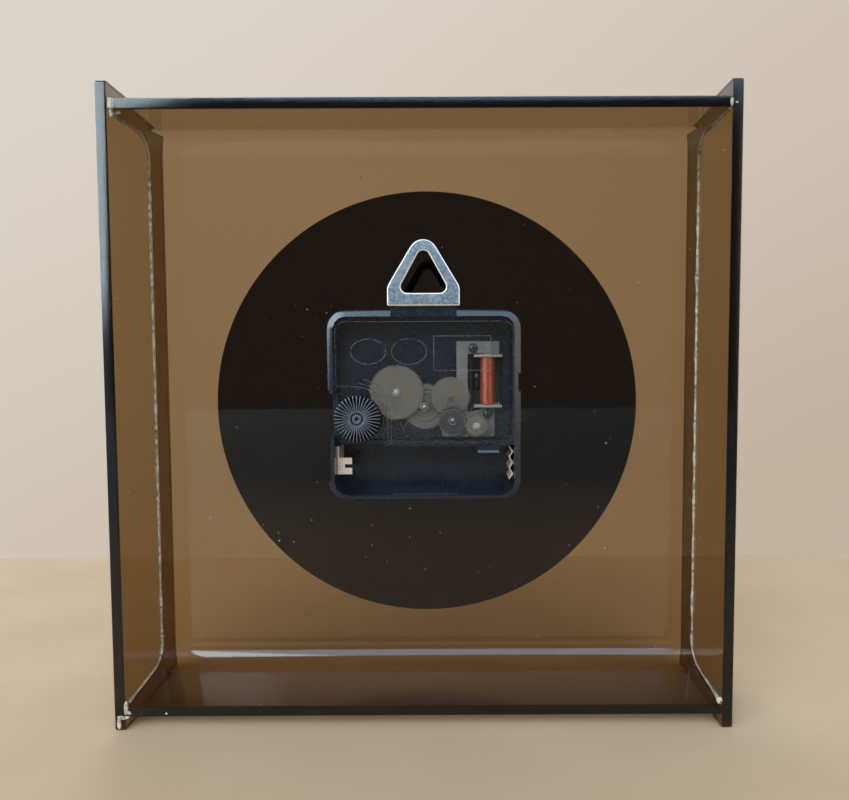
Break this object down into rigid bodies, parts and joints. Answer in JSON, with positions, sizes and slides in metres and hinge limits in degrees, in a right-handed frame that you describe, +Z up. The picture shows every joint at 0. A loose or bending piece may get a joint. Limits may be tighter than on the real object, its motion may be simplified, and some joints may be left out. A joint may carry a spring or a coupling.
{
  "type": "desk clock",
  "caption": "Square desk clock: a bent smoked acrylic case open at the back, with a round dial and a battery quartz movement under a clear cover.",
  "frame": {"origin": "middle of the footprint, on the surface that the two side panels stand on", "axes": "+Z up; the dial faces -Y and the open back faces +Y; +X is to the right seen from the dial side"},
  "size_m": [0.1766, 0.035, 0.182],
  "materials": {
    "smoked_acrylic": "clear smoked brown acrylic sheet, polished faces, sawn and scraped edges",
    "cement": "whitish dried solvent cement, uneven",
    "dial": "high gloss black acrylic",
    "gilt": "gilt, satin",
    "rubber": "black rubber, matt",
    "brass": "turned brass",
    "housing": "moulded black plastic, satin",
    "dark_plastic": "moulded black plastic, satin",
    "clear_cover": "clear moulded polystyrene",
    "zinc": "zinc plated pressed steel",
    "nickel": "nickel plated spring strip",
    "board": "lacquered circuit board",
    "resin": "black potting resin",
    "steel": "bright drawn steel",
    "motor_iron": "soft iron sheet, dull",
    "bobbin": "off-white moulded plastic",
    "copper": "fine enamelled copper wire, wound close",
    "nylon": "milky moulded acetal",
    "magnet": "sintered magnet, dull grey"
  },
  "bodies": {
    "case": {"case_wrap": "smoked_acrylic", "side_panel_left": "smoked_acrylic", "side_panel_right": "smoked_acrylic", "cement_seam_left": "cement", "cement_seam_right": "cement", "dial_disc": "dial", "hour_marker_1": "gilt", "hour_marker_2": "gilt", "hour_marker_3": "gilt", "hour_marker_4": "gilt", "hour_marker_5": "gilt", "hour_marker_6": "gilt", "hour_marker_7": "gilt", "hour_marker_8": "gilt", "hour_marker_9": "gilt", "hour_marker_10": "gilt", "hour_marker_11": "gilt", "hour_marker_12": "gilt", "rubber_washer": "rubber", "dial_washer": "brass", "fixing_nut": "brass", "movement_housing": "housing", "train_plate": "dark_plastic", "movement_cover": "clear_cover", "hanger": "zinc", "contact_negative": "nickel", "contact_positive": "nickel", "circuit_board": "board", "driver_chip": "resin", "quartz_crystal": "steel", "stator": "motor_iron", "coil_core": "motor_iron", "coil_bobbin": "bobbin", "coil_winding": "copper"},
    "rotor": {"rotor_gear": "nylon", "rotor_magnet": "magnet"},
    "reduction": {"reduction_wheel": "dark_plastic", "reduction_arbor": "steel"},
    "intermediate": {"intermediate_wheel": "nylon"},
    "seconds": {"seconds_wheel": "nylon", "seconds_arbor": "steel", "second_hand": "gilt"},
    "third": {"third_wheel": "nylon"},
    "centre": {"centre_wheel": "dark_plastic"},
    "minute": {"cannon_pinion": "brass", "minute_hand": "gilt"},
    "motion": {"motion_wheel": "nylon"},
    "hour": {"hour_wheel": "nylon", "hour_hand": "gilt"},
    "setting": {"setting_shaft": "nylon", "setting_knob": "housing"}
  },
  "joints": [
    {"name": "seconds_spin", "type": "hinge", "parent": "case", "child": "seconds", "pos_m": [-0.0004, 0, 0.092], "axis": [0, 1, 0], "continuous": true},
    {"name": "intermediate_spin", "type": "hinge", "parent": "case", "child": "intermediate", "pos_m": [-0.00795, 0, 0.09494], "axis": [0, 1, 0], "continuous": true},
    {"name": "reduction_spin", "type": "hinge", "parent": "case", "child": "reduction", "pos_m": [-0.0086, 0, 0.08801], "axis": [0, 1, 0], "continuous": true},
    {"name": "rotor_spin", "type": "hinge", "parent": "case", "child": "rotor", "pos_m": [-0.0156, 0, 0.08633], "axis": [0, 1, 0], "continuous": true},
    {"name": "third_spin", "type": "hinge", "parent": "case", "child": "third", "pos_m": [0.00793, 0, 0.09623], "axis": [0, 1, 0], "continuous": true},
    {"name": "centre_spin", "type": "hinge", "parent": "case", "child": "centre", "pos_m": [-0.0004, 0, 0.092], "axis": [0, 1, 0], "continuous": true},
    {"name": "minute_spin", "type": "hinge", "parent": "case", "child": "minute", "pos_m": [-0.0004, 0, 0.092], "axis": [0, 1, 0], "continuous": true},
    {"name": "motion_spin", "type": "hinge", "parent": "case", "child": "motion", "pos_m": [0.00787, 0, 0.09056], "axis": [0, 1, 0], "continuous": true},
    {"name": "hour_spin", "type": "hinge", "parent": "case", "child": "hour", "pos_m": [-0.0004, 0, 0.092], "axis": [0, 1, 0], "continuous": true},
    {"name": "setting_spin", "type": "hinge", "parent": "case", "child": "setting", "pos_m": [0.01925, 0, 0.08857], "axis": [0, 1, 0], "continuous": true}
  ],
  "couplings": [
    {"joint": "intermediate_spin", "follows": "seconds_spin", "ratio": -5},
    {"joint": "reduction_spin", "follows": "seconds_spin", "ratio": 24},
    {"joint": "rotor_spin", "follows": "seconds_spin", "ratio": -30},
    {"joint": "third_spin", "follows": "seconds_spin", "ratio": -0.16667},
    {"joint": "centre_spin", "follows": "seconds_spin", "ratio": 0.016667},
    {"joint": "motion_spin", "follows": "minute_spin", "ratio": -0.33333},
    {"joint": "hour_spin", "follows": "minute_spin", "ratio": 0.083333},
    {"joint": "setting_spin", "follows": "minute_spin", "ratio": 0.4}
  ]
}
